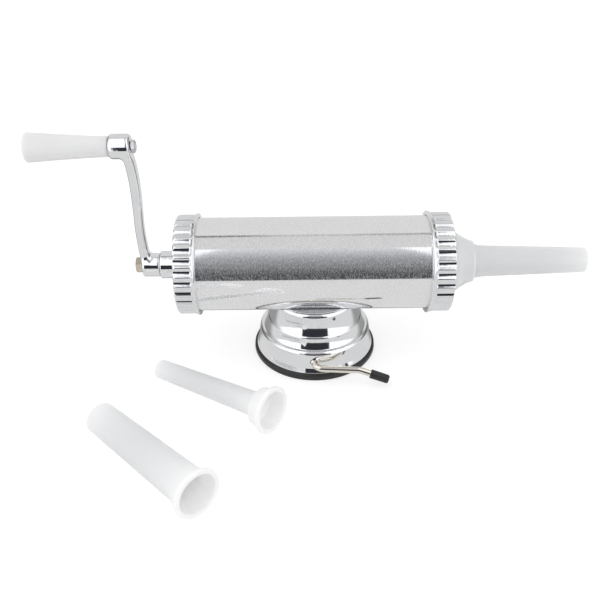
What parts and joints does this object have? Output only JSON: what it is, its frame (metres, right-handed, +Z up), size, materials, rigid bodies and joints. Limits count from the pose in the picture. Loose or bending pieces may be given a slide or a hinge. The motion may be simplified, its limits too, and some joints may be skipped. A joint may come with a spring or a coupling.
{
  "type": "hand-cranked sausage stuffer",
  "caption": "Hand-cranked screw sausage stuffer: aluminium barrel with ribbed caps, crank and nozzle, on a stepped chrome suction base with a lever; spare nozzles beside it.",
  "frame": {"origin": "middle of the suction base's foot, on the table", "axes": "+X along the barrel towards the nozzle, +Z up, the suction lever on the -Y side"},
  "size_m": [0.4039, 0.236, 0.1814],
  "materials": {
    "satin_aluminium": "satin, turned",
    "chrome": "bright plated",
    "white_plastic": "milky white, slightly translucent",
    "black_rubber": "matt black",
    "wire_nickel": "bright nickel plate, warm",
    "zinc_steel": "yellow zinc plate",
    "bright_steel": "bright steel",
    "brass": "turned brass",
    "piston_plastic": "white food-safe plastic"
  },
  "bodies": {
    "stand": {"suction_pad": "black_rubber", "base_dome": "chrome", "barrel": "satin_aluminium", "barrel_stud_1": "bright_steel", "barrel_stud_2": "bright_steel", "stud_washer_1": "bright_steel", "stud_washer_2": "bright_steel", "stud_nut_1": "zinc_steel", "stud_nut_2": "zinc_steel", "rear_cap": "chrome", "screw_nut": "brass", "nozzle_large": "white_plastic", "nozzle_small": "white_plastic"},
    "plunger": {"piston_head": "piston_plastic", "piston_seal": "black_rubber", "piston_washer_front": "bright_steel", "piston_washer_rear": "bright_steel"},
    "screw_crank": {"lead_screw": "bright_steel", "crank_arm": "chrome", "crank_bolt": "zinc_steel", "grip_bolt": "bright_steel", "grip_nut": "bright_steel", "piston_nut": "bright_steel"},
    "handle_grip": {"grip": "white_plastic"},
    "nozzle_set": {"front_cone": "white_plastic", "nozzle_medium": "white_plastic"},
    "ring": {"front_ring": "chrome"},
    "lever": {"lever_wire": "wire_nickel", "lever_sleeve": "black_rubber", "lever_cam": "bright_steel", "lever_retainer": "bright_steel"},
    "pull": {"pull_stud": "bright_steel"}
  },
  "joints": [
    {"name": "plunger_slide", "type": "slide", "parent": "stand", "child": "plunger", "axis": [1, 0, 0], "range_m": [-0.1621, 0]},
    {"name": "crank_turn", "type": "hinge", "parent": "plunger", "child": "screw_crank", "pos_m": [0, 0, 0.076], "axis": [1, 0, 0], "range_deg": [-9720, 0]},
    {"name": "grip_spin", "type": "hinge", "parent": "screw_crank", "child": "handle_grip", "pos_m": [-0.17, 0, 0.171], "axis": [1, 0, 0], "continuous": true},
    {"name": "nozzle_travel", "type": "slide", "parent": "stand", "child": "nozzle_set", "axis": [1, 0, 0], "range_m": [0, 0.00701]},
    {"name": "ring_turn", "type": "hinge", "parent": "nozzle_set", "child": "ring", "pos_m": [0.09, 0, 0.076], "axis": [1, 0, 0], "range_deg": [0, 840]},
    {"name": "lever_turn", "type": "hinge", "parent": "stand", "child": "lever", "pos_m": [-0.0015, 0, 0.0144], "axis": [0, -1, 0], "range_deg": [0, 180]},
    {"name": "stud_lift", "type": "slide", "parent": "stand", "child": "pull", "axis": [0, 0, 1], "range_m": [0, 0.00281], "deforming": ["suction_pad"]}
  ],
  "couplings": [
    {"joint": "plunger_slide", "follows": "crank_turn", "m_per_rad": 0.00095493},
    {"joint": "nozzle_travel", "follows": "ring_turn", "m_per_rad": 0.00047746},
    {"joint": "stud_lift", "follows": "lever_turn", "m_per_rad": 0.00089127}
  ]
}
